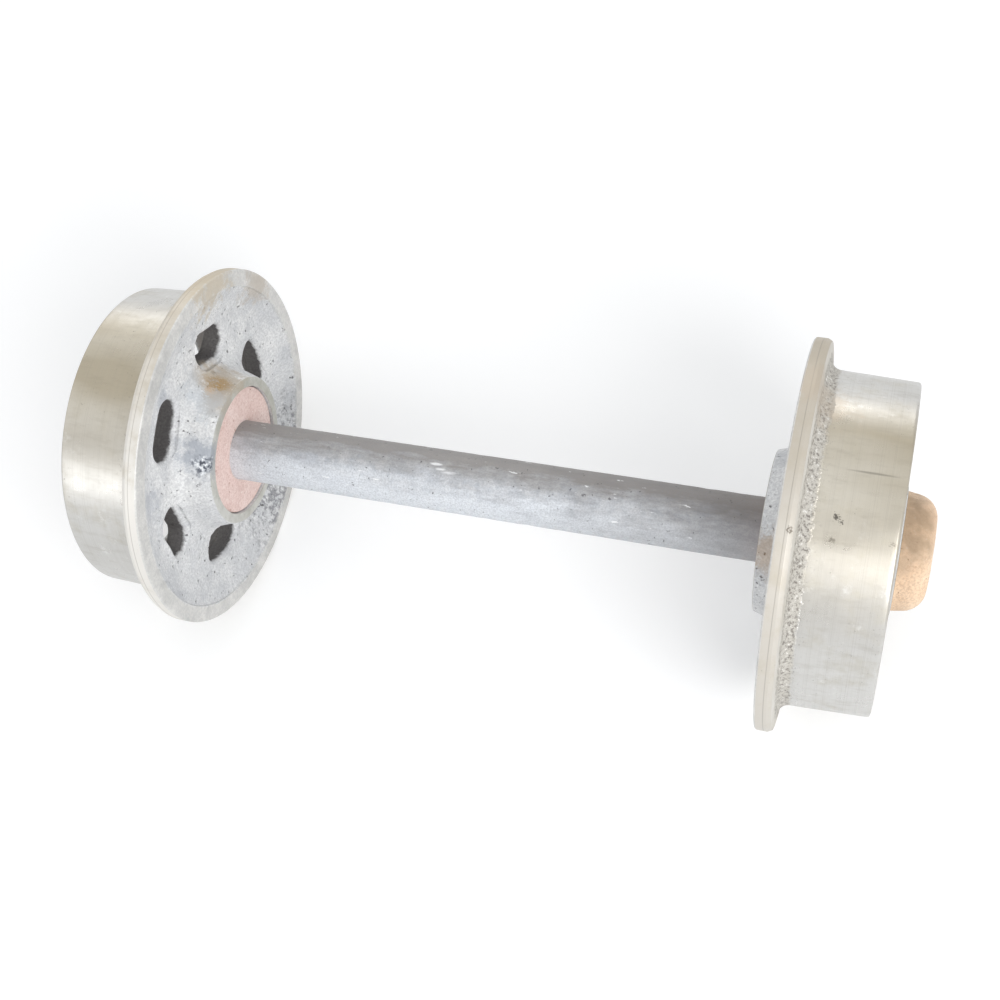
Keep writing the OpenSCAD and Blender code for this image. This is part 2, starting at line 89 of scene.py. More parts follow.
def either(one, two):
    """A mask that is 1 where one or the other is"""
    return maths("MAXIMUM", one, two)


def ramp(value, low, high, to_low=0.0, to_high=1.0):
    """Maps a value from one range to another, held at both ends"""
    return add(value.id_data, "ShaderNodeMapRange", {"Value": value, "From Min": low, "From Max": high,
                                                     "To Min": to_low, "To Max": to_high}).outputs[0]


def new_material(name):
    """A material, its shader and the place that its patterns are read at"""
    made = bpy.data.materials.new(name)
    made.use_nodes = True
    tree = made.node_tree
    return made, tree.nodes["Principled BSDF"], add(tree, "ShaderNodeTexCoord").outputs["Object"]


def mesh_object(name, bm):
    mesh = bpy.data.meshes.new(name)
    bm.to_mesh(mesh)
    bm.free()
    made = bpy.data.objects.new(name, mesh)
    bpy.context.scene.collection.objects.link(made)
    return made


def camera_and_lamps():
    scene = bpy.context.scene
    scene.view_settings.view_transform = "Standard"
    data = bpy.data.cameras.new("photo_camera")
    data.sensor_width = 36
    data.lens = CAMERA_LENS
    data.clip_start = 0.02
    data.clip_end = 60
    camera = bpy.data.objects.new("photo_camera", data)
    turn = Matrix((CAMERA_RIGHT, CAMERA_UP, CAMERA_BACK)).transposed()
    camera.matrix_world = Matrix.Translation(CAMERA_AT) @ turn.to_4x4()
    scene.collection.objects.link(camera)
    scene.camera = camera

    for name, place, width, height, watts in LAMPS:
        light = bpy.data.lights.new(name, "AREA")
        light.shape = "RECTANGLE"
        light.size = width
        light.size_y = height
        light.energy = watts
        lamp = bpy.data.objects.new(name, light)
        lamp.location = place
        lamp.rotation_mode = "QUATERNION"
        lamp.rotation_quaternion = (-Vector(place)).to_track_quat("-Z", "Y")
        scene.collection.objects.link(lamp)

    world = bpy.data.worlds.new("studio")
    world.use_nodes = True
    tree = world.node_tree
    tree.nodes.clear()
    path = add(tree, "ShaderNodeLightPath")
    seen = path.outputs["Is Camera Ray"]
    for kind in ("Is Transmission Ray", "Is Glossy Ray"):
        seen = either(seen, path.outputs[kind])
    room = add(tree, "ShaderNodeBackground", {"Color": (0.97, 0.985, 1.0, 1), "Strength": 0.76})
    white = add(tree, "ShaderNodeBackground", {"Color": (1, 1, 1, 1), "Strength": 1.0})
    shown = add(tree, "ShaderNodeMixShader", {0: seen, 1: room.outputs[0], 2: white.outputs[0]})
    add(tree, "ShaderNodeOutputWorld", {"Surface": shown.outputs[0]})
    scene.world = world


def studio_floor():
    bm = bmesh.new()
    bmesh.ops.create_grid(bm, x_segments=1, y_segments=1, size=12)
    bmesh.ops.translate(bm, verts=bm.verts, vec=(0, 0, FLOOR_Z))
    floor = mesh_object("studio_floor", bm)
    paint, skin, spot = new_material("pale_floor")
    # the camera sees the floor a little brighter, most of all far out, where it runs into white
    away = add(paint.node_tree, "ShaderNodeVectorMath", {0: spot}, operation="LENGTH").outputs["Value"]
    seen = add(paint.node_tree, "ShaderNodeLightPath").outputs["Is Camera Ray"]
    glow = times(seen, ramp(away, 0.8, 4.0, 0.16, 0.6))
    plug_in(skin, {"Base Color": (0.9, 0.9, 0.9, 1), "Roughness": 0.8, "Specular IOR Level": 0.1,
                         "Emission Color": (1, 1, 1, 1), "Emission Strength": glow})
    floor.data.materials.append(paint)


camera_and_lamps()
studio_floor()


# Wheels: one steel casting each. Sand has left its grain on web, rim and hub; the tread,
# the flange's tip and inner ring and the ends of the hub are turned bright. The six long
# web holes are cored, so their edges are soft and uneven, with traces of flash.
MM = 0.001
# All heights are measured outwards from a flange's inner face, which is this far from the middle
HALF_BACK = 280
RING_R, TIP_R, TREAD_R, RIM_R = 162, 176.8, 150, 131
HUB_IN, HUB_OUT, RIM_OUT = -19, 99, 96
WEB_IN, WEB_OUT = 14, 36
BARREL_R, HUB_IN_R = 61, 74.5
MOUTH_R, MOUTH_AT = 65, -5
HOLE_RING_R, HOLE_HALF_W, HOLE_REACH, HOLE_EDGE = 107, 17, 13, 5
HOLE_ANGLES = [52 + 60 * i for i in range(6)]
# Sides of a hole where its core was short: (outward, onward, mm, share at the inboard face)
SHORT_SIDES = {
    52: ((0, 1, 5.5, 1), (-0.7, -0.7, 5.5, 0)),
    172: ((0.7, -0.7, 5.5, 1), (-0.7, 0.7, 5.5, 0)),
}
PLUG_AT, PLUG_SEAT_R, PLUG_FLAT_R, PLUG_HOLE_R = 49.5, 59.5, 10, 6
# Corners of the section, each (radius, height, rounding)
WHEEL_OUTLINE = (
    # inboard end of the hub, web and ring
    (MOUTH_R, HUB_IN, 0), (HUB_IN_R, HUB_IN, 2), (84.57, WEB_IN, 14), (133.54, WEB_IN, 20),
    (RING_R, 2.5, 0.4),
    # flange, tread and rim
    (162.5, 0, 0.4), (178.94, 0, 2), (178.94, 11, 0.8), (TIP_R, 15, 1.2), (152.62, 18, 9),
    (TREAD_R, RIM_OUT, 3), (RIM_R, RIM_OUT, 0.8),
    # recess, barrel and outboard end of the hub
    (129, WEB_OUT, 11), (BARREL_R, WEB_OUT, 11), (59, HUB_OUT, 2), (45, HUB_OUT, 0.5),
    # bore: outer cup's seat, grease room between two shoulders, inner cup's seat, mouth
    (45, 62.75, 0), (40, 62.75, 0), (40, 56.5, 0), (49, 56.5, 0), (49, 42.5, 0),
    (40, 42.5, 0), (40, 36.25, 0), (55, 36.25, 0), (55, MOUTH_AT, 0), (MOUTH_R, MOUTH_AT, 0),
)


def round_corner(bm, corner, radius, steps):
    """Rounds a corner of a wire outline to a radius"""
    arms = [edge.other_vert(corner).co - corner.co for edge in corner.link_edges]
    turn = math.pi - arms[0].angle(arms[1])
    bmesh.ops.bevel(bm, geom=[corner], offset=radius * math.tan(turn / 2), offset_type="OFFSET",
                    segments=steps, profile=0.5, affect="VERTICES", material=-1)


def turned(outline, around, step, steps=6):
    """Spins an outline of (radius, height, rounding) corners, in mm, about the X axis"""
    bm = bmesh.new()
    row = [bm.verts.new((height * MM, 0, radius * MM)) for radius, height, _ in outline]
    for one, other in zip(row, row[1:] + row[:1]):
        if one.co.z > 0 or other.co.z > 0:
            bm.edges.new((one, other))
    for corner, (_, _, radius) in zip(row, outline):
        if radius:
            round_corner(bm, corner, radius * MM, steps)
    for edge in list(bm.edges):
        cuts = math.ceil(edge.calc_length() / (step * MM)) - 1
        if cuts > 0:
            bmesh.ops.subdivide_edges(bm, edges=[edge], cuts=cuts)
    bmesh.ops.spin(bm, geom=bm.verts[:] + bm.edges[:], cent=(0, 0, 0), axis=(1, 0, 0), dvec=(0, 0, 0),
                   angle=2 * math.pi, steps=around, use_merge=True)
    bmesh.ops.remove_doubles(bm, verts=bm.verts, dist=1e-6)
    bmesh.ops.recalc_face_normals(bm, faces=bm.faces)
    return bm


def outward(vert):
    """The direction from a web hole's middle line to a point of its outline"""
    middle = max(-HOLE_REACH * MM, min(HOLE_REACH * MM, vert.co.y))
    return Vector((vert.co.x, vert.co.y - middle, 0)).normalized()


def widen(verts, growth):
    """Moves the outline of a web hole outwards by a growth in mm"""
    for vert in verts:
        vert.co += outward(vert) * growth * MM


def long_oval():
    """The outline of a web hole: a circle drawn apart, with points along its straight sides"""
    bm = bmesh.new()
    bmesh.ops.create_circle(bm, segments=56, radius=HOLE_HALF_W * MM)
    for vert in bm.verts:
        if abs(vert.co.y) > 1e-6:
            vert.co.y += math.copysign(HOLE_REACH * MM, vert.co.y)
    long_sides = [edge for edge in bm.edges if edge.calc_length() > 6 * MM]
    bmesh.ops.subdivide_edges(bm, edges=long_sides, cuts=8)
    return bm


def make_uneven(core, angle):
    """Lets a core be short on some sides, and waver as rammed sand does"""
    for vert in core.verts:
        through = max(0.0, min(1.0, (vert.co.z / MM - WEB_IN) / (WEB_OUT - WEB_IN)))
        out = outward(vert)
        for toward_x, toward_y, reach, inboard in SHORT_SIDES.get(angle, ()):
            share = max(0.0, out.x * toward_x + out.y * toward_y) * abs(inboard - through)
            vert.co -= out * reach * share * MM
    for vert in core.verts:
        vert.co.x *= 1 + 0.13 * noise.noise(Vector((vert.co.x * 30, vert.co.y * 30, angle)))
        vert.co.y *= 1 + 0.08 * noise.noise(Vector((vert.co.y * 35, angle, vert.co.x * 35)))


def hole_core(angle):
    """The sand core of one web hole: a long oval, wider at both faces of the web"""
    bm = long_oval()
    leans = [math.radians(lean) for lean in range(0, 96, 16)]
    rounding = [(HOLE_EDGE * (1 - math.sin(lean)), HOLE_EDGE * (1 - math.cos(lean))) for lean in leans]
    stops = [(WEB_IN + depth, width) for depth, width in reversed(rounding)]
    stops += [(WEB_OUT - depth, width) for depth, width in rounding]
    stops.append((WEB_OUT + 12, rounding[-1][1]))
    here, wide = WEB_IN - HOLE_EDGE, rounding[-1][1]
    bmesh.ops.translate(bm, verts=bm.verts, vec=(0, 0, here * MM))
    widen(bm.verts, wide)
    ring = bm.edges[:]
    for height, width in stops:
        grown = bmesh.ops.extrude_edge_only(bm, edges=ring)["geom"]
        ring = [part for part in grown if isinstance(part, bmesh.types.BMEdge)]
        verts = [part for part in grown if isinstance(part, bmesh.types.BMVert)]
        bmesh.ops.translate(bm, verts=verts, vec=(0, 0, (height - here) * MM))
        widen(verts, width - wide)
        here, wide = height, width
    bmesh.ops.holes_fill(bm, edges=[edge for edge in bm.edges if edge.is_boundary], sides=0)
    bmesh.ops.recalc_face_normals(bm, faces=bm.faces)
    make_uneven(bm, angle)
    turn = math.radians(angle)
    out = Vector((0, math.cos(turn), math.sin(turn)))
    along = Vector((1, 0, 0))
    place = Matrix((out, along.cross(out), along)).transposed().to_4x4()
    place.translation = out * HOLE_RING_R * MM
    bmesh.ops.transform(bm, matrix=place, verts=bm.verts)
    return bm


def plug_cutter(radius, depth, middle, segments):
    """A round cutter that stands under the hub, where the grease plug goes"""
    bm = bmesh.new()
    bmesh.ops.create_cone(bm, cap_ends=True, segments=segments, radius1=radius * MM, radius2=radius * MM,
                          depth=depth * MM)
    bmesh.ops.translate(bm, verts=bm.verts, vec=(PLUG_AT * MM, 0, -middle * MM))
    return bm


def join_meshes(parts):
    """Puts several bmeshes together in one"""
    whole = bmesh.new()
    for part in parts:
        mesh = bpy.data.meshes.new("part")
        part.to_mesh(mesh)
        part.free()
        whole.from_mesh(mesh)
        bpy.data.meshes.remove(mesh)
    return whole


def smooth_object(name, bm, material):
    """An object with soft shading, but for its edges of more than 38 degrees"""
    made = mesh_object(name, bm)
    made.data.shade_smooth()
    made.data.set_sharp_from_angle(angle=math.radians(38))
    made.data.materials.append(material)
    return made


def cut(body, cutter):
    """Cuts one object out of another and returns the result as a bmesh; both objects go"""
    knife = body.modifiers.new("cut", "BOOLEAN")
    knife.operation = "DIFFERENCE"
    knife.solver = "EXACT"
    knife.object = cutter
    graph = bpy.context.evaluated_depsgraph_get()
    mesh = bpy.data.meshes.new_from_object(body.evaluated_get(graph))
    bm = bmesh.new()
    bm.from_mesh(mesh)
    bpy.data.meshes.remove(mesh)
    for used in (body, cutter):
        data = used.data
        bpy.data.objects.remove(used)
        bpy.data.meshes.remove(data)
    bmesh.ops.remove_doubles(bm, verts=bm.verts, dist=0.02 * MM)
    return bm


def lay(bm, side):
    """Lays a turned piece at its end of the axle: -1 for the left wheel's, 1 for the right's"""
    for vert in bm.verts:
        vert.co.x = side * (HALF_BACK * MM + vert.co.x)
    if side < 0:
        bmesh.ops.reverse_faces(bm, faces=bm.faces)


def from_axle(vert):
    """A vertex's height outside the flange's inner face and its radius, both in mm"""
    return abs(vert.co.x) / MM - HALF_BACK, math.hypot(vert.co.y, vert.co.z) / MM


def roughen(bm, lump):
    """Moves each vertex along its normal by as many mm as lump says for it"""
    bm.normal_update()
    moves = [(vert, vert.normal * lump(vert) * MM) for vert in bm.verts]
    for vert, move in moves:
        vert.co += move


# Torn and pitted places of the castings: (wheel side, place in mm, reach, depth, grain, cuts).
# The place is given from the middle of the axle. A place with no grain is a plain dent.
TORN_PLACES = (
    (-1, (-269.5, -51, 57), 14, 3.4, 190, 3),
    (-1, (-276, 34, 71), 12, 0.9, 420, 2),
    (-1, (-287, -5, -150), 42, 0.8, 300, 1),
    (-1, (-285, 55, -146), 30, 0.7, 320, 1),
    (-1, (-291, 113, 83), 4, 1.8, 0, 3),
    (-1, (-289, 144, 25), 4, 1.6, 0, 3),
    (-1, (-294, -57, 62), 3.5, 1.5, 0, 3),
    (-1, (-288, 135, -63), 4.5, 1.6, 0, 3),
    (1, (289, 40, 140), 16, 1.2, 300, 2),
    (1, (294, -110, -60), 4, 1.6, 0, 3),
)
ROUGH_BAND = (14.5, 27.5)


def is_turned(height, radius):
    """True where the lathe has been: bore, mouth, hub ends, ring, tip, tread and rim face"""
    bore = radius < BARREL_R - 3 or (height < MOUTH_AT + 1 and radius < MOUTH_R + 1)
    hub_end = height < HUB_IN + 0.3 or height > HUB_OUT - 0.3
    ring = height < 2 and radius > RING_R - 0.2
    tip = radius > TIP_R - 0.3
    tread = height > ROUGH_BAND[1] and radius > TREAD_R - 3.5
    rim_face = height > RIM_OUT - 0.5 and radius > RIM_R - 1
    seat = abs(height - PLUG_AT) < PLUG_FLAT_R + 0.2 and radius < BARREL_R + 1.2
    return bore or hub_end or ring or tip or tread or rim_face or seat


def cast_lump(spot):
    """How far the sand mould's surface stands off its drawing, in mm"""
    broad = noise.fractal(spot * 38, 1.0, 2.0, 3)
    fine = noise.noise(spot * 170)
    torn = max(0.0, noise.noise(spot * 16 + Vector((7, 0, 0))) + 0.1)
    return 0.42 * broad + 0.12 * fine + 0.5 * torn * noise.noise(spot * 260)


def gritty_lump(spot, height, radius):
    """The burnt-on grit at the root of the flange, in mm, fading out at the band's sides"""
    fade = min(1.0, (ROUGH_BAND[1] - height) / 4, height - ROUGH_BAND[0], (171 - radius) / 4)
    return max(0.0, fade) * (0.15 * noise.noise(spot * 60) + 0.22 * noise.noise(spot * 260) - 0.1)


def torn_lump(vert, spot, place, reach, depth, grain):
    """What a torn place adds or takes, in mm: broken facets, or one plain dent"""
    away = (vert.co - Vector(place) * MM).length / (reach * MM)
    if away >= 1:
        return 0.0
    share = (1 - away * away) ** 1.5
    if not grain:
        return -depth * share
    facet = 0.4 - noise.voronoi(spot * grain)[0][0]
    return depth * share * (facet + 0.5 * noise.noise(spot * grain) - 0.2)


def finish_wheel(source, side, name, body):
    """Lays the wheel at its end of the axle and gives each surface its own unevenness"""
    bm = bmesh.new()
    bm.from_mesh(source)
    lay(bm, side)
    torn = [entry[1:] for entry in TORN_PLACES if entry[0] == side]
    for place, reach, depth, grain, cuts in torn:
        middle = Vector(place) * MM
        near = [edge for edge in bm.edges if all((v.co - middle).length < reach * MM for v in edge.verts)]
        bmesh.ops.subdivide_edges(bm, edges=near, cuts=cuts, use_grid_fill=True)

    def lump(vert):
        height, radius = from_axle(vert)
        if is_turned(height, radius):
            return 0.0
        spot = Vector((vert.co.x * side, vert.co.y, vert.co.z + 3.1 * side))
        if ROUGH_BAND[0] < height < ROUGH_BAND[1] and radius > TREAD_R:
            off = gritty_lump(spot, height, radius)
        else:
            off = cast_lump(spot) * max(0.0, min(1.0, abs(radius - RING_R) / 3, (height - HUB_IN) / 2))
        for place, reach, depth, grain, _ in torn:
            off += torn_lump(vert, spot, place, reach, depth, grain)
        return off

    roughen(bm, lump)
    made = smooth_object(name, bm, wheel_steel)
    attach(made, body)
    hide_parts(name.replace("_casting", ""))


def build_wheels():
    blank = mesh_object("wheel_blank", turned(WHEEL_OUTLINE, 288, 2.8))
    plug_flat = plug_cutter(PLUG_FLAT_R, 10, PLUG_SEAT_R + 5, 48)
    cores = join_meshes([hole_core(angle) for angle in HOLE_ANGLES] + [plug_flat])
    bored = mesh_object("wheel_cored", cut(blank, mesh_object("wheel_cores", cores)))
    bm = cut(bored, mesh_object("plug_core", plug_cutter(PLUG_HOLE_R, 14, 53, 32)))
    source = bpy.data.meshes.new("wheel_source")
    bm.to_mesh(source)
    bm.free()
    finish_wheel(source, -1, "left_wheel_casting", "left_wheel_set")
    finish_wheel(source, 1, "right_wheel_casting", "right_wheel_set")
    bpy.data.meshes.remove(source)


def colour(red, green, blue):
    """A colour of 0 to 255, as a screen shows it, made linear"""
    shown = (value / 255 for value in (red, green, blue))
    return tuple(v / 12.92 if v < 0.04 else ((v + 0.055) / 1.055) ** 2.4 for v in shown) + (1,)


def shader_group(name, inputs, outputs):
    """A node group with its sockets; returns its input node and its output node"""
    group = bpy.data.node_groups.new(name, "ShaderNodeTree")
    for label, kind, value in inputs:
        socket = group.interface.new_socket(label, in_out="INPUT", socket_type="NodeSocket" + kind)
        if value is not None:
            socket.default_value = value
    for label, kind in outputs:
        group.interface.new_socket(label, in_out="OUTPUT", socket_type="NodeSocket" + kind)
    return group.nodes.new("NodeGroupInput"), group.nodes.new("NodeGroupOutput")


def put_out(end, **values):
    """Links values to a group's outputs of those names and returns the group"""
    plug_in(end, values)
    return end.id_data


def plus(one, two, clamp=False):
    return maths("ADD", one, two, clamp)


def minus(one, two):
    return maths("SUBTRACT", one, two)


def blend(share, one, other):
    """Mixes two colours"""
    return add(share.id_data, "ShaderNodeMix", {0: share, 6: one, 7: other}, data_type="RGBA").outputs[2]


def cover(under, mask, strength, over):
    """Lays a colour over another where a mask is, as strongly as is said"""
    return blend(times(mask, strength), under, over)


def between(share, one, other):
    """Mixes two numbers"""
    return add(share.id_data, "ShaderNodeMix", {0: share, 2: one, 3: other}, data_type="FLOAT").outputs[0]


def cloud(vector, scale, detail=3.0, rough=0.55):
    return add(vector.id_data, "ShaderNodeTexNoise", {"Vector": vector, "Scale": scale, "Detail": detail,
                                                      "Roughness": rough}).outputs[0]


def vectors(operation, one, two):
    """Adds, subtracts or measures places"""
    return add(tree_of(one, two), "ShaderNodeVectorMath", {0: one, 1: two}, operation=operation).outputs


def parts_of(vector):
    """The three numbers of a place"""
    return add(vector.id_data, "ShaderNodeSeparateXYZ", {0: vector}).outputs


def sway(pattern, reach):
    """Makes a pattern of 0 to 1 swing to both sides of nothing"""
    return times(minus(pattern, 0.5), reach)


def use(group, **inputs):
    """Places a node group and gives its outputs"""
    return add(tree_of(*inputs.values()), "ShaderNodeGroup", inputs, node_tree=group).outputs


def make_axle_place():
    """Height outside the flange's inner face, distance from the axle's line and way round it"""
    start, end = shader_group(
        "axle_place", [("Vector", "Vector", None)],
        [("Height", "Float"), ("Radius", "Float"), ("Lathe", "Vector"), ("Around", "Vector")])
    group = end.id_data
    parts = parts_of(start.outputs[0])
    out = maths("ABSOLUTE", parts[0])
    height = minus(times(out, 1 / MM), HALF_BACK)
    flat = add(group, "ShaderNodeCombineXYZ", {"Y": parts[1], "Z": parts[2]})
    length = add(group, "ShaderNodeVectorMath", {0: flat.outputs[0]}, operation="LENGTH")
    radius = times(length.outputs["Value"], 1 / MM)
    lathe = add(group, "ShaderNodeCombineXYZ", {"X": height, "Y": radius})
    turn = add(group, "ShaderNodeVectorMath", {0: flat.outputs[0]}, operation="NORMALIZE")
    along = add(group, "ShaderNodeCombineXYZ", {"X": times(parts[0], 1.6)})
    around = vectors("ADD", turn.outputs[0], along.outputs[0])
    return put_out(end, Height=height, Radius=radius, Lathe=lathe.outputs[0], Around=around[0])


def make_sand_skin():
    """Surface that a sand mould leaves: its relief, its dark pits and its light and dark clouds"""
    start, end = shader_group(
        "sand_skin", [("Vector", "Vector", None), ("Grain", "Float", 420.0)],
        [("Relief", "Float"), ("Pits", "Float"), ("Clouds", "Float"), ("Speckle", "Float")])
    vector, grain = start.outputs[0], start.outputs[1]
    sand = cloud(vector, grain, 4.0, 0.65)
    lumps = cloud(vector, 75.0, 4.0)
    small = cloud(vector, 210.0, 2.0)
    pits = ramp(small, 0.66, 0.72)
    relief = plus(times(sand, 0.35), times(lumps, 0.8))
    relief = minus(relief, times(pits, 0.9))
    clouds = ramp(cloud(vector, 22.0, 5.0, 0.6), 0.36, 0.64)
    speckle = ramp(sand, 0.42, 0.62)
    return put_out(end, Relief=relief, Pits=pits, Clouds=clouds, Speckle=speckle)


def make_lathe_marks():
    """Fine rings left by the turning tool, and the smears across them"""
    start, end = shader_group(
        "lathe_marks", [("Vector", "Vector", None), ("Lathe", "Vector", None)],
        [("Rings", "Float"), ("Smears", "Float"), ("Patches", "Float")])
    rings = cloud(start.outputs[1], 1.7, 3.0, 0.7)
    smears = cloud(start.outputs[0], 34.0, 5.0, 0.7)
    patches = ramp(cloud(start.outputs[0], 11.0, 4.0, 0.6), 0.38, 0.62)
    return put_out(end, Rings=rings, Smears=smears, Patches=patches)


def make_stain():
    """A ragged spot round a place: 1 in its middle, 0 outside its reach"""
    start, end = shader_group(
        "stain", [("Vector", "Vector", None), ("Place", "Vector", None), ("Reach", "Float", 0.02),
                  ("Ragged", "Float", 0.5)], [("Mask", "Float")])
    gap = vectors("DISTANCE", start.outputs[0], start.outputs[1])["Value"]
    share = maths("DIVIDE", gap, start.outputs[2])
    wave = cloud(start.outputs[0], 95.0, 5.0, 0.7)
    share = plus(share, sway(wave, times(start.outputs[3], 4.0)))
    return put_out(end, Mask=ramp(share, 1.0, 0.45))


def make_edge_wear():
    """Bare, rubbed edges: 1 on sharp outer edges, 0 on flats and hollows"""
    start, end = shader_group("edge_wear", [("Vector", "Vector", None)], [("Mask", "Float")])
    shape = add(end.id_data, "ShaderNodeNewGeometry")
    edge = ramp(shape.outputs["Pointiness"], 0.53, 0.6)
    broken = ramp(cloud(start.outputs[0], 120.0, 4.0, 0.7), 0.35, 0.6)
    return put_out(end, Mask=times(edge, broken, True))


axle_place = make_axle_place()
sand_skin = make_sand_skin()
lathe_marks = make_lathe_marks()
stain = make_stain()
edge_wear = make_edge_wear()


def dress(skin, relief, strength, depth, **inputs):
    """Links relief through a bump, and colour and finish to the skin's own sockets"""
    bump = add(skin.id_data, "ShaderNodeBump", {"Height": relief, "Strength": strength, "Distance": depth})
    plug_in(skin, {"Normal": bump.outputs[0]})
    plug_in(skin, {name.replace("_", " "): value for name, value in inputs.items()})


def inside(value, low, high, soft=0.6):
    """1 where a value lies between two others"""
    return times(ramp(value, low, low + soft), ramp(value, high, high - soft))


def lathe_masks(place, ragged, uneven):
    """Where the lathe has been: tread and rim face, ring, tip, and both ends of the hub"""
    height, radius = place["Height"], place["Radius"]
    tread = times(ramp(uneven, 25.0, 28.0), ramp(radius, 140.0, 141.0))
    rim_face = times(ramp(height, RIM_OUT - 0.7, RIM_OUT - 0.3),
                     ramp(radius, RIM_R - 0.4, RIM_R + 0.2))
    ring_from = plus(radius, times(ragged, 0.9))
    ring = times(ramp(height, 1.8, 1.2), ramp(ring_from, RING_R - 0.5, RING_R + 2.0))
    tip = ramp(radius, TIP_R - 0.6, TIP_R)
    hub_in = times(ramp(height, HUB_IN + 1.0, HUB_IN + 0.4),
                   ramp(radius, HUB_IN_R + 0.5, HUB_IN_R - 0.5))
    hub_out = times(ramp(height, HUB_OUT - 0.8, HUB_OUT - 0.2),
                    ramp(radius, BARREL_R, BARREL_R - 1.0))
    return either(tread, rim_face), ring, tip, either(hub_in, hub_out)


def cast_colour(spot, place, sand, shade):
    """The casting's own skin: pale sand grey, blue-grey where scale lies on it"""
    cast = blend(sand["Clouds"], colour(221, 222, 223), colour(240, 240, 239))
    scale = ramp(cloud(spot, 26.0, 6.0, 0.7), 0.52, 0.68)
    dish = times(inside(place["Radius"], 146.0, 163.0, 5.0), 0.35)
    scale = plus(scale, times(dish, ramp(place["Height"], 13.0, 9.0)), True)
    cast = cover(cast, scale, 0.4, colour(172, 176, 182))
    cast = cover(cast, shade, 0.4, colour(160, 160, 163))
    # coarse burnt-on sand low on the left wheel
    burnt = use(stain, Vector=spot, Place=(-0.286, 0.045, -0.135), Reach=0.085, Ragged=0.5)["Mask"]
    coarse = ramp(cloud(spot, 190.0, 4.0, 0.75), 0.54, 0.45)
    cast = cover(cast, burnt, times(coarse, 0.75), colour(122, 122, 127))
    return cover(cast, sand["Pits"], 0.75, colour(70, 68, 70))


def painted_recess_shade(spot, place, sand, shade):
    """Painted shade in the holes and on the recess's wall, darkest deep in; on the web's back a mottle of
    grease, rust and dark speckle, kept darker than the cast skin as painted shade
    """
    height, radius = place["Height"], place["Radius"]
    # painted shade: darkest deep in the holes, paler towards the outboard end
    painted_deep_shade = blend(ramp(height, 24.0, 92.0), colour(66, 62, 61), colour(138, 133, 128))
    painted_deep_shade = cover(painted_deep_shade, sand["Speckle"], 0.12, colour(150, 146, 142))
    grease = ramp(cloud(spot, 24.0, 6.0, 0.68), 0.4, 0.6)
    rust = ramp(cloud(spot, 60.0, 6.0, 0.75), 0.54, 0.66)
    # the web's back: grease and rust, kept dark as painted shade
    dusty = blend(grease, colour(112, 105, 97), colour(164, 160, 154))
    dusty = cover(dusty, rust, 0.6, colour(128, 98, 70))
    dusty = cover(dusty, shade, 0.5, colour(72, 68, 66))
    open_back = times(ramp(height, WEB_OUT - 2, WEB_OUT), ramp(radius, 129.0, 116.0))
    return blend(open_back, painted_deep_shade, dusty)


def grit_colour(grit):
    """Burnt-on grit at the flange's root: dark between the grains, white on their tops"""
    tint = blend(ramp(grit, 0.38, 0.5), colour(122, 116, 110), colour(196, 192, 184))
    return blend(ramp(grit, 0.6, 0.66), tint, colour(238, 236, 232))


def tread_colour(spot, place, lathe, grit, specks, uneven):
    """Bright tread: broad bands and fine streaks along it, thin rings round it; at its front and back
    painted light: a neutral grey with pale patches, partly rubbed steel and partly painted highlight
    """
    bands = cloud(place["Around"], 2.2, 2.0, 0.4)
    streaks = cloud(place["Around"], 24.0, 4.0, 0.6)
    across = parts_of(spot)[1]
    # painted light: the front and back of the tread, where the lamps light it
    sides = times(either(ramp(across, -0.03, -0.13), ramp(across, 0.03, 0.08)), 0.8)
    rubbed = times(ramp(cloud(spot, 60.0, 6.0, 0.8), 0.58, 0.7), sides)
    spatter = times(ramp(grit, 0.6, 0.64), ramp(uneven, 38.0, 26.0))
    bright = blend(ramp(bands, 0.4, 0.6), colour(178, 169, 150), colour(212, 207, 195))
    # painted light: neutral grey at the front and back
    bright = blend(sides, bright, colour(214, 214, 213))
    bright = cover(bright, ramp(streaks, 0.5, 0.72), 0.22, colour(150, 143, 128))
    bright = cover(bright, ramp(lathe["Smears"], 0.52, 0.68), 0.3, colour(182, 175, 156))
    bright = cover(bright, ramp(lathe["Rings"], 0.5, 0.75), 0.3, colour(152, 147, 138))
    # painted highlight and rubbed steel: pale patches at the front and back
    bright = cover(bright, rubbed, 0.7, colour(240, 240, 238))
    bright = cover(bright, specks, 0.6, colour(104, 98, 92))
    return cover(bright, spatter, 0.6, colour(140, 136, 132))


def tip_colour(spot, place, lathe, specks):
    """The flange's tip: darker and browner towards the back, darker on the right wheel, with one fine tool
    edge
    """
    parts = parts_of(spot)
    toward_back = plus(parts[1], sway(lathe["Smears"], 0.25))
    pale = blend(ramp(toward_back, 0.12, -0.12), colour(198, 187, 168), colour(230, 227, 221))
    pale = blend(ramp(parts[0], -0.1, 0.1, 0.0, 0.45), pale, colour(170, 160, 144))
    pale = cover(pale, inside(place["Height"], 7.6, 8.8, 0.5), 0.4, colour(120, 112, 102))
    pale = cover(pale, ramp(lathe["Smears"], 0.5, 0.7), 0.5, colour(194, 186, 170))
    return cover(pale, specks, 0.5, colour(120, 112, 102))


def ring_colour(sand, lathe, shade):
    """The turned ring inside the flange: grey, smeared and a little sandy"""
    grey = blend(sand["Clouds"], colour(212, 211, 207), colour(232, 230, 226))
    grey = cover(grey, ramp(lathe["Smears"], 0.46, 0.64), 0.6, colour(188, 187, 184))
    return cover(grey, shade, 0.25, colour(158, 158, 161))


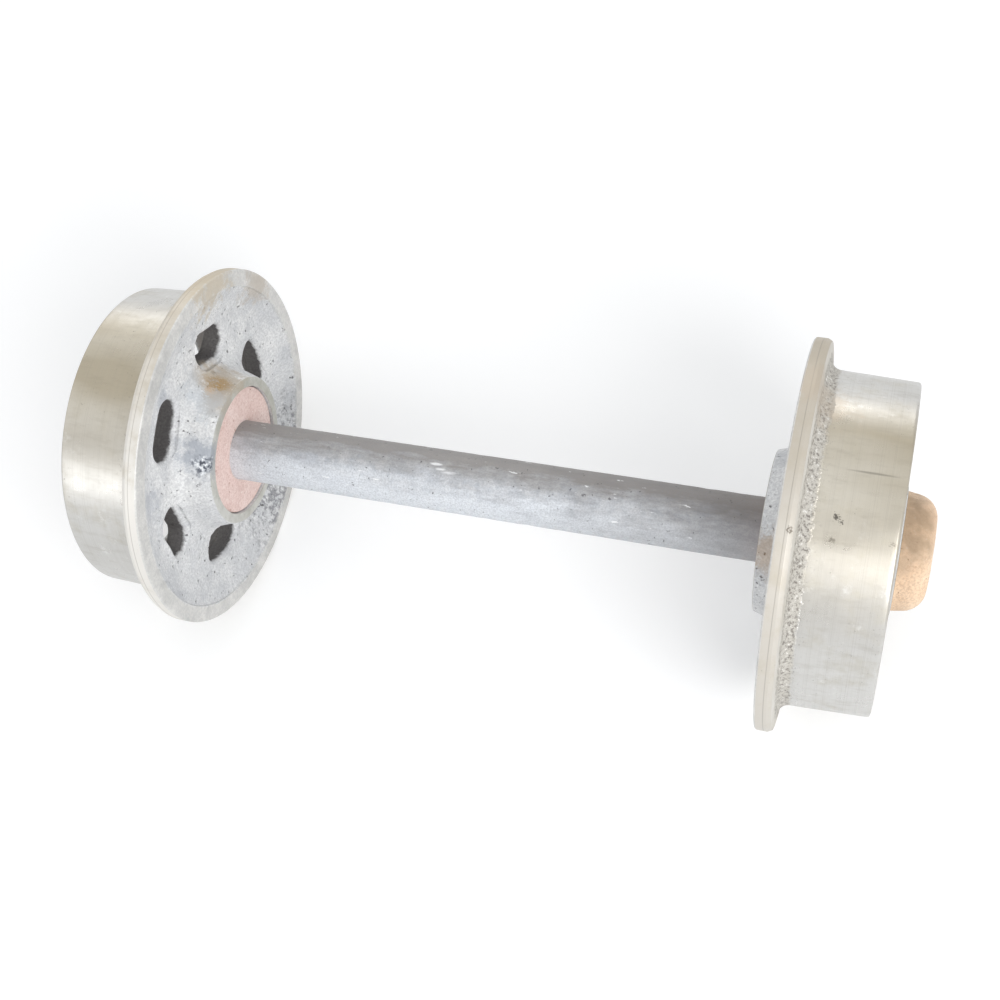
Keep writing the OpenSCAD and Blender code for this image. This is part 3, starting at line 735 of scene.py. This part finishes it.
# Rust, clay, torn places and nicks of the wheels: (place, reach, raggedness, colour, strength)
WHEEL_STAINS = (
    ((-0.278, 0.040, 0.069), 0.034, 0.5, (184, 170, 150), 0.75),
    ((-0.267, 0.012, 0.075), 0.020, 0.5, (182, 166, 144), 0.8),
    ((-0.276, 0.029, 0.074), 0.019, 0.55, (168, 134, 78), 0.95),
    ((-0.279, 0.022, 0.079), 0.008, 0.6, (206, 160, 88), 0.9),
    ((-0.280, 0.157, 0.063), 0.030, 0.7, (190, 178, 162), 0.6),
    ((-0.282, 0.100, 0.146), 0.042, 0.8, (198, 184, 160), 0.7),
    ((-0.275, 0.013, 0.086), 0.030, 0.7, (194, 200, 206), 0.6),
    ((-0.2715, -0.044, 0.062), 0.026, 0.5, (158, 164, 174), 0.75),
    ((-0.292, -0.020, 0.124), 0.014, 0.6, (170, 174, 182), 0.6),
    ((-0.284, -0.105, 0.080), 0.022, 0.8, (176, 179, 186), 0.6),
    ((0.300, 0.060, 0.158), 0.035, 0.6, (190, 176, 158), 0.5),
    ((0.276, -0.050, 0.060), 0.025, 0.5, (164, 128, 80), 0.5),
    ((0.3245, -0.046, 0.144), 0.0030, 0.35, (70, 66, 62), 0.85),
    ((0.3285, -0.049, 0.143), 0.0018, 0.4, (76, 72, 68), 0.8),
    ((0.3236, -0.064, 0.137), 0.0032, 0.4, (120, 114, 104), 0.7),
    ((0.371, -0.060, 0.137), 0.0030, 0.5, (120, 112, 100), 0.6),
    ((0.292, -0.073, 0.1635), 0.0028, 0.4, (110, 100, 88), 0.8),
)


def stained(spot, tint):
    """Lays the stains over the wheel's colour, then the torn slag and the scratch"""
    tree = spot.id_data
    crumbs = add(tree, "ShaderNodeTexNoise", {"Vector": spot, "Scale": 520.0, "Detail": 3.0})
    swing = vectors("SUBTRACT", crumbs.outputs["Color"], (0.5, 0.5, 0.5))
    small = add(tree, "ShaderNodeVectorMath", {0: swing[0], "Scale": 0.011}, operation="SCALE")
    frayed = vectors("ADD", spot, small.outputs[0])[0]
    for middle, reach, raggedness, shade, strength in WHEEL_STAINS:
        mask = use(stain, Vector=frayed, Place=middle, Reach=reach, Ragged=raggedness)["Mask"]
        tint = cover(tint, mask, strength, colour(*shade))
    # torn slag beside the left hub: dark seams between bare facets
    torn = use(stain, Vector=spot, Place=(-0.2695, -0.051, 0.057), Reach=0.013, Ragged=0.5)["Mask"]
    seams = cloud(spot, 300.0, 2.0, 0.5)
    tint = cover(tint, torn, ramp(seams, 0.5, 0.42), colour(84, 88, 98))
    tint = cover(tint, torn, ramp(seams, 0.56, 0.62), colour(240, 242, 244))
    # a scratch across the right tread
    drawn = add(tree, "ShaderNodeMapping", {0: spot, "Scale": (0.04, 1.0, 1.0)}).outputs[0]
    scratch = use(stain, Vector=drawn, Place=(0.0141, -0.0065, 0.151), Reach=0.0013, Ragged=0.25)
    return cover(tint, scratch["Mask"], 0.5, colour(112, 108, 100))


def make_wheel_steel():
    made, skin, spot = new_material("cast_and_turned_steel")
    place = use(axle_place, Vector=spot)
    sand = use(sand_skin, Vector=spot, Grain=430.0)
    lathe = use(lathe_marks, Vector=spot, Lathe=place["Lathe"])
    height, radius = place["Height"], place["Radius"]
    ragged = sway(cloud(spot, 130.0, 4.0, 0.7), 9.0)
    uneven = plus(height, ragged)
    shade = minus(1.0, sand["Speckle"])
    grit = cloud(spot, 330.0, 3.0, 0.75)
    specks = times(ramp(cloud(spot, 330.0, 3.0, 0.7), 0.66, 0.7),
                   ramp(cloud(spot, 17.0, 2.0), 0.5, 0.62))
    tread, ring, tip, ends = lathe_masks(place, ragged, uneven)
    # cast skin, with painted shade in the holes and the recess
    painted_shade_mask = times(inside(uneven, 16.5, 95.5, 3.0), inside(radius, 60.5, 139.0))
    tint = cast_colour(spot, place, sand, shade)
    tint = cover(tint, painted_shade_mask, 0.93, painted_recess_shade(spot, place, sand, shade))
    # the flange's flank, with grit at its root
    flank = times(inside(height, 13.5, 28.0, 0.6), ramp(radius, 146.0, 148.0))
    root = plus(radius, times(ragged, 1.5))
    band = times(inside(uneven, 13.5, 28.0, 1.5), inside(root, 146.0, 167.0, 2.0))
    side = blend(lathe["Patches"], colour(202, 197, 187), colour(220, 217, 211))
    tint = blend(flank, tint, side)
    tint = cover(tint, band, 0.9, grit_colour(grit))
    # what the lathe has turned
    tint = blend(tread, tint, tread_colour(spot, place, lathe, grit, specks, uneven))
    tint = blend(tip, tint, tip_colour(spot, place, lathe, specks))
    tint = blend(ring, tint, ring_colour(sand, lathe, shade))
    worn = blend(ramp(lathe["Smears"], 0.4, 0.62), colour(206, 205, 199), colour(176, 175, 164))
    tint = cover(tint, ends, 0.9, worn)
    tint = stained(spot, tint)
    flat = either(tip, ring)
    metal = between(either(flat, ends), between(tread, 0.1, 0.85), 0.3)
    rough = between(tread, 0.64, ramp(lathe["Smears"], 0.35, 0.7, 0.26, 0.44))
    rough = between(flat, rough, 0.45)
    lathed = either(either(tread, tip), either(ring, ends))
    relief = between(lathed, sand["Relief"], times(lathe["Rings"], 0.08))
    relief = between(band, relief, times(grit, 1.2))
    dress(skin, relief, 0.75, 0.0011, Base_Color=tint, Metallic=metal, Roughness=rough)
    return made


wheel_steel = make_wheel_steel()
build_wheels()


# Axle: a round bar of hot-rolled steel, turned down in steps at both ends for the bearings
# and threaded for the nuts, with a key slot and a split pin hole. Its middle keeps the mill
# skin: blue-grey, pale in front as painted light, and dark and brown along the top, partly
# a brown film and partly painted shade, with more painted shade towards the right wheel.
AXLE_R, SEAT_AT, KEY_FROM, AXLE_END = 30, 7, 87, 119
THREAD_R, THREAD_FROM, THREAD_TO, THREAD_PITCH, THREAD_DEPTH = 18, 88, 118, 3.0, 1.6
KEY_SLOT_W, KEY_SLOT_DEPTH, KEY_CUTTER_H = 8, 3, 8
PIN_HOLE_R, PIN_HOLE_AT = 3.2, 114
# Corners of one end, each (radius, height)
AXLE_STEPS = (
    (AXLE_R, 6), (29, SEAT_AT), (25, SEAT_AT), (25, 35), (23, 35), (23, 63), (20, 64),
    (20, KEY_FROM), (THREAD_R, KEY_FROM), (THREAD_R, 117), (16, AXLE_END),
)
# Chips where a bar or a chain has struck it: (place on the pattern drawn out along it, reach)
AXLE_CHIPS = (
    ((-0.0095, -0.005, 0.0297), 0.0024),
    ((-0.0115, -0.003, 0.0297), 0.0018),
    ((-0.013, 0.002, 0.030), 0.0016),
)


def axle_cutters():
    """Both key slots and both split pin holes"""
    parts = []
    for side in (-1, 1):
        hole = bmesh.new()
        bmesh.ops.create_cone(hole, cap_ends=True, segments=32, radius1=PIN_HOLE_R * MM,
                              radius2=PIN_HOLE_R * MM, depth=60 * MM)
        upright = Matrix.Rotation(math.pi / 2, 3, "X")
        bmesh.ops.rotate(hole, cent=(0, 0, 0), matrix=upright, verts=hole.verts)
        bmesh.ops.translate(hole, verts=hole.verts, vec=(side * (HALF_BACK + PIN_HOLE_AT) * MM, 0, 0))
        slot = bmesh.new()
        bmesh.ops.create_cube(slot, size=1)
        length = AXLE_END - KEY_FROM + 1
        middle, high = HALF_BACK + KEY_FROM + length / 2, THREAD_R - KEY_SLOT_DEPTH + KEY_CUTTER_H / 2
        bmesh.ops.scale(slot, vec=(length * MM, KEY_SLOT_W * MM, KEY_CUTTER_H * MM), verts=slot.verts)
        bmesh.ops.translate(slot, verts=slot.verts, vec=(side * middle * MM, 0, high * MM))
        parts += [hole, slot]
    return join_meshes(parts)


def cut_threads(bm):
    """Presses the helix of each thread into the plain ends"""
    for vert in bm.verts:
        height, radius = from_axle(vert)
        if THREAD_FROM < height < THREAD_TO and radius > THREAD_R - 1.5:
            turn = math.atan2(vert.co.z, vert.co.y) / (2 * math.pi)
            wave = (height / THREAD_PITCH + math.copysign(turn, vert.co.x)) % 1.0
            depth = THREAD_DEPTH * (1 - abs(2 * wave - 1))
            runout = min(1.0, (THREAD_TO - height) / 2, (height - THREAD_FROM) / 2)
            depth = min(depth, THREAD_DEPTH * 0.85) * runout
            shrink = (radius - depth) / radius
            vert.co.y *= shrink
            vert.co.z *= shrink


def on_thread(edge):
    """True for the edges that run along the plain rod of a thread"""
    places = [from_axle(vert) for vert in edge.verts]
    threaded = all(height > KEY_FROM + 0.5 and radius > THREAD_R - 1 for height, radius in places)
    return threaded and abs(edge.verts[0].co.x - edge.verts[1].co.x) > 1e-5


def mill_lump(vert):
    """Waves and dents of the bar's own skin, in mm, between the wheels"""
    height, radius = from_axle(vert)
    if radius <= AXLE_R - 0.5 or height >= HUB_IN - 3:
        return 0.0
    dent = max(0.0, noise.noise(vert.co * 62 + Vector((3, 0, 0))) - 0.25)
    return 0.10 * noise.noise(vert.co * 18) + 0.08 * noise.noise(vert.co * 140) - 0.8 * dent


def build_axle():
    left = [(radius, -HALF_BACK - height, 0) for radius, height in AXLE_STEPS]
    right = [(radius, HALF_BACK + height, 0) for radius, height in reversed(AXLE_STEPS)]
    end = HALF_BACK + AXLE_END
    bm = turned([(0, end, 0)] + right + left + [(0, -end, 0)], 128, 3.4)
    bmesh.ops.subdivide_edges(bm, edges=[edge for edge in bm.edges if on_thread(edge)], cuts=5)
    cut_threads(bm)
    bm = cut(mesh_object("axle_blank", bm), mesh_object("axle_cutters", axle_cutters()))
    roughen(bm, mill_lump)
    made = smooth_object("axle_bar", bm, make_axle_steel())
    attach(made, "axle_set")
    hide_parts("axle")


def make_axle_steel():
    made, skin, spot = new_material("mill_skin_steel")
    parts = parts_of(spot)
    film = cloud(spot, 30.0, 6.0, 0.62)
    grain = cloud(spot, 620.0, 4.0, 0.7)
    mottle = cloud(spot, 120.0, 5.0, 0.7)
    pits = ramp(cloud(spot, 230.0, 2.0), 0.69, 0.73)
    tint = blend(ramp(mottle, 0.36, 0.64), colour(180, 184, 190), colour(213, 214, 216))
    tint = cover(tint, ramp(film, 0.5, 0.66), 0.4, colour(164, 170, 181))
    # its front is painted pale as painted light; its top is dark and brown, partly a brown film and partly
    # painted shade; painted shade makes it darker still, most of all towards the right wheel
    drawn = add(made.node_tree, "ShaderNodeMapping", {0: spot, "Scale": (0.25, 1, 1)}).outputs[0]
    wander = sway(cloud(drawn, 75.0, 6.0, 0.7), 0.05)
    back = plus(parts[1], wander)
    # painted light: the pale front
    tint = cover(tint, ramp(back, -0.010, -0.027), 0.75, colour(230, 234, 239))
    # a brown film with painted shade: the darker top and back
    tint = cover(tint, ramp(back, -0.012, 0.008), 0.88, colour(140, 135, 130))
    # painted shade: darker towards the right wheel
    right = ramp(plus(parts[0], times(wander, 5.0)), 0.02, 0.24)
    tint = cover(tint, right, 0.55, colour(104, 99, 95))
    tint = cover(tint, ramp(grain, 0.56, 0.42), 0.3, colour(130, 130, 136))
    tint = cover(tint, pits, 0.7, colour(78, 76, 80))
    chips = ramp(cloud(drawn, 240.0, 3.0, 0.6), 0.69, 0.72)
    for middle, reach in AXLE_CHIPS:
        struck = use(stain, Vector=drawn, Place=middle, Reach=reach, Ragged=0.5)["Mask"]
        chips = either(chips, struck)
    tint = cover(tint, chips, 0.8, colour(240, 241, 242))
    # the turned ends are bright
    bright_from = (HALF_BACK + SEAT_AT) * MM
    seat = ramp(maths("ABSOLUTE", parts[0]), bright_from - 0.0002, bright_from + 0.0002)
    tint = blend(seat, tint, colour(196, 197, 199))
    metal = between(seat, between(chips, 0.2, 0.7), 0.9)
    rough = between(seat, ramp(film, 0.3, 0.7, 0.42, 0.6), 0.3)
    relief = plus(times(grain, 0.3), times(mottle, 0.5))
    relief = minus(relief, times(pits, 0.9))
    relief = between(seat, relief, 0.0)
    dress(skin, relief, 0.6, 0.0008, Base_Color=tint, Metallic=metal, Roughness=rough)
    return made


build_axle()


# Labyrinth rings: one turned steel disc with a sleeve at each end, shrunk on the axle in
# the mouth of the hub. They are coated with a thick salmon-red primer that is dusty and
# full of small specks, and worn where it meets the axle.
DISC_FRONT, DISC_R = -16.3, 64.1
RING_OUTLINE = (
    (AXLE_R, DISC_FRONT, 0), (DISC_R, DISC_FRONT, 1.2), (DISC_R, -6.3, 1), (38, -6.3, 0.3), (38, 7, 0.5),
    (AXLE_R, 7, 0),
)


def make_primer(name, low, high, dark, pale, wear):
    """Thick, dusty primer with dark and pale specks; the wear shows the steel under it"""
    made, skin, spot = new_material(name)
    clouds = cloud(spot, 30.0, 5.0, 0.6)
    grain = cloud(spot, 480.0, 3.0, 0.7)
    specks = ramp(cloud(spot, 260.0, 2.0, 0.5), 0.69, 0.73)
    dust = ramp(cloud(spot, 340.0, 2.0, 0.5), 0.66, 0.72)
    tint = blend(ramp(clouds, 0.36, 0.64), low, high)
    tint = cover(tint, ramp(grain, 0.55, 0.4), 0.3, dark)
    tint = cover(tint, specks, 0.75, dark)
    tint = cover(tint, dust, 0.6, pale)
    rubbed = times(use(edge_wear, Vector=spot)["Mask"], wear)
    tint = blend(rubbed, tint, colour(176, 172, 168))
    relief = minus(plus(times(grain, 0.5), clouds), times(specks, 0.8))
    dress(skin, relief, 0.6, 0.0009, Base_Color=tint, Roughness=ramp(clouds, 0.3, 0.7, 0.55, 0.7))
    return made, skin, spot, tint


def build_rings():
    paint = make_primer("salmon_primer", colour(229, 201, 193), colour(241, 219, 212),
                        colour(178, 130, 116), colour(250, 240, 234), 0.6)[0]
    for side, hand in ((-1, "left"), (1, "right")):
        bm = turned(RING_OUTLINE, 144, 3.0)
        lay(bm, side)
        for vert in bm.verts:
            height, radius = from_axle(vert)
            if height < DISC_FRONT + 0.3 and radius < DISC_R - 1.6:
                vert.co.x += side * 0.16 * MM * (noise.noise(vert.co * 42) - 0.6)
        made = smooth_object(hand + "_mouth_ring", bm, paint)
        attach(made, "axle_set")
        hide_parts(hand + "_labyrinth_ring")


build_rings()


# End caps: cast iron domes with a spigot, pressed in the outer end of the hub to keep the
# grease in. They have the same primer in a lighter peach, pitted by the rough casting under
# it and darker and browner along the top.
CAP_OUTLINE = (
    # spigot, shoulder and the outside of the dome
    (41, 91, 0), (45, 91, 0.8), (45, HUB_OUT, 0), (54, HUB_OUT, 0.6), (49.64, 126.5, 20), (16.3, 127.6, 0),
    (0, 128, 0),
    # its inside
    (0, 124, 0), (16.3, 123.6, 0), (46.28, 122.5, 16), (49.37, 103, 0), (41, 103, 0),
)


def make_cap_primer():
    made, skin, spot, tint = make_primer("peach_primer", colour(240, 206, 172), colour(250, 222, 192),
                                         colour(150, 108, 76), colour(250, 234, 216), 0.5)
    high = plus(parts_of(spot)[2], sway(cloud(spot, 60.0, 5.0, 0.7), 0.05))
    tint = cover(tint, ramp(high, 0.031, 0.052), 0.8, colour(166, 140, 112))
    plug_in(skin, {"Base Color": tint})
    return made


def dome_lump(vert):
    """Waves and pits of the rough casting under the cap's primer, in mm, on its outside only"""
    height, radius = from_axle(vert)
    middle_of_wall = 50.5 - (height - 103) * 0.1
    if height <= HUB_OUT + 1 or (height <= 125 and radius <= middle_of_wall):
        return 0.0
    spot = Vector((vert.co.x, vert.co.y, vert.co.z + math.copysign(1, vert.co.x)))
    pit = max(0.0, noise.noise(spot * 210) - 0.35)
    return 0.22 * noise.noise(spot * 55) + 0.1 * noise.noise(spot * 190) - 1.3 * pit - 0.1


def build_caps():
    paint = make_cap_primer()
    for side, hand in ((-1, "left"), (1, "right")):
        bm = turned(CAP_OUTLINE, 144, 2.4, steps=8)
        lay(bm, side)
        roughen(bm, dome_lump)
        made = smooth_object(hand + "_grease_cap", bm, paint)
        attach(made, hand + "_wheel_set")
        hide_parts(hand + "_end_cap")


build_caps()


# Taper roller bearings, two at each end, bought in: ground and polished rings and rollers
# of hard steel with a film of oil, and cages pressed from thin sheet, darker and duller.
def give(material, *kinds):
    """Gives both hands' CAD nodes of these kinds a material"""
    for hand in ("left_", "right_"):
        for kind in kinds:
            slots = nodes[hand + kind].data.materials
            slots.clear()
            slots.append(material)


def make_bearing_steel():
    made, skin, spot = new_material("ground_bearing_steel")
    place = use(axle_place, Vector=spot)
    lathe = use(lathe_marks, Vector=spot, Lathe=place["Lathe"])
    tint = blend(lathe["Patches"], colour(190, 192, 196), colour(214, 215, 218))
    tint = cover(tint, ramp(lathe["Smears"], 0.55, 0.72), 0.6, colour(170, 158, 130))
    dress(skin, lathe["Rings"], 0.15, 0.0003, Base_Color=tint, Metallic=0.95,
          Roughness=ramp(lathe["Smears"], 0.3, 0.7, 0.14, 0.3))
    return made


def make_cage_steel():
    made, skin, spot = new_material("pressed_cage_steel")
    clouds = cloud(spot, 70.0, 4.0, 0.6)
    tint = blend(ramp(clouds, 0.35, 0.65), colour(138, 126, 104), colour(172, 160, 134))
    rubbed = use(edge_wear, Vector=spot)["Mask"]
    tint = blend(rubbed, tint, colour(206, 202, 192))
    dress(skin, cloud(spot, 600.0, 3.0), 0.25, 0.0003, Base_Color=tint, Metallic=0.8,
          Roughness=ramp(clouds, 0.3, 0.7, 0.34, 0.5))
    return made


give(make_bearing_steel(), "inner_cup", "inner_cone", "inner_rollers",
     "outer_cup", "outer_cone", "outer_rollers")
give(make_cage_steel(), "inner_cage", "outer_cage")


# Oil seals: black rubber moulded on a steel case and pressed in the hub, greasy on the lip
# side. The garter spring behind the lip is wound from fine steel wire.
def make_seal_rubber():
    made, skin, spot = new_material("black_seal_rubber")
    clouds = cloud(spot, 80.0, 4.0, 0.6)
    grain = cloud(spot, 900.0, 3.0, 0.6)
    tint = blend(ramp(clouds, 0.35, 0.65), colour(34, 34, 36), colour(58, 57, 56))
    dust = ramp(cloud(spot, 420.0, 3.0), 0.62, 0.72)
    tint = cover(tint, dust, 0.4, colour(118, 104, 88))
    dress(skin, grain, 0.4, 0.0003, Base_Color=tint, Roughness=ramp(clouds, 0.3, 0.7, 0.38, 0.6))
    return made


def make_spring_steel():
    made, skin, spot = new_material("wound_spring_steel")
    parts = parts_of(spot)
    turn = maths("ARCTAN2", parts[2], parts[1])
    coils = maths("SINE", times(turn, 420.0))
    tint = blend(ramp(coils, -1.0, 0.2), colour(86, 84, 80), colour(198, 198, 196))
    dress(skin, coils, 0.8, 0.0003, Base_Color=tint, Metallic=0.9,
          Roughness=ramp(cloud(spot, 200.0), 0.3, 0.7, 0.25, 0.4))
    return made


give(make_seal_rubber(), "oil_seal")
give(make_spring_steel(), "garter_spring")


# Fasteners: castle nut, tab washer and split pin of plain steel under the cap, and the screw
# plug in the hub, which closes the grease hole. All are oily, the plug also rusty and grimy.
def make_fastener_steel():
    made, skin, spot = new_material("oily_fastener_steel")
    clouds = cloud(spot, 90.0, 5.0, 0.6)
    grain = cloud(spot, 520.0, 3.0, 0.6)
    tint = blend(ramp(clouds, 0.35, 0.65), colour(132, 134, 138), colour(176, 178, 182))
    rust = ramp(cloud(spot, 150.0, 5.0, 0.7), 0.55, 0.68)
    tint = cover(tint, rust, 0.6, colour(126, 88, 60))
    rubbed = use(edge_wear, Vector=spot)["Mask"]
    tint = blend(rubbed, tint, colour(206, 207, 210))
    dress(skin, plus(grain, rust), 0.4, 0.0005, Base_Color=tint,
          Metallic=between(rust, 0.85, 0.35), Roughness=between(rust, 0.34, 0.6))
    return made


give(make_fastener_steel(), "tab_washer", "castle_nut", "split_pin", "grease_plug")
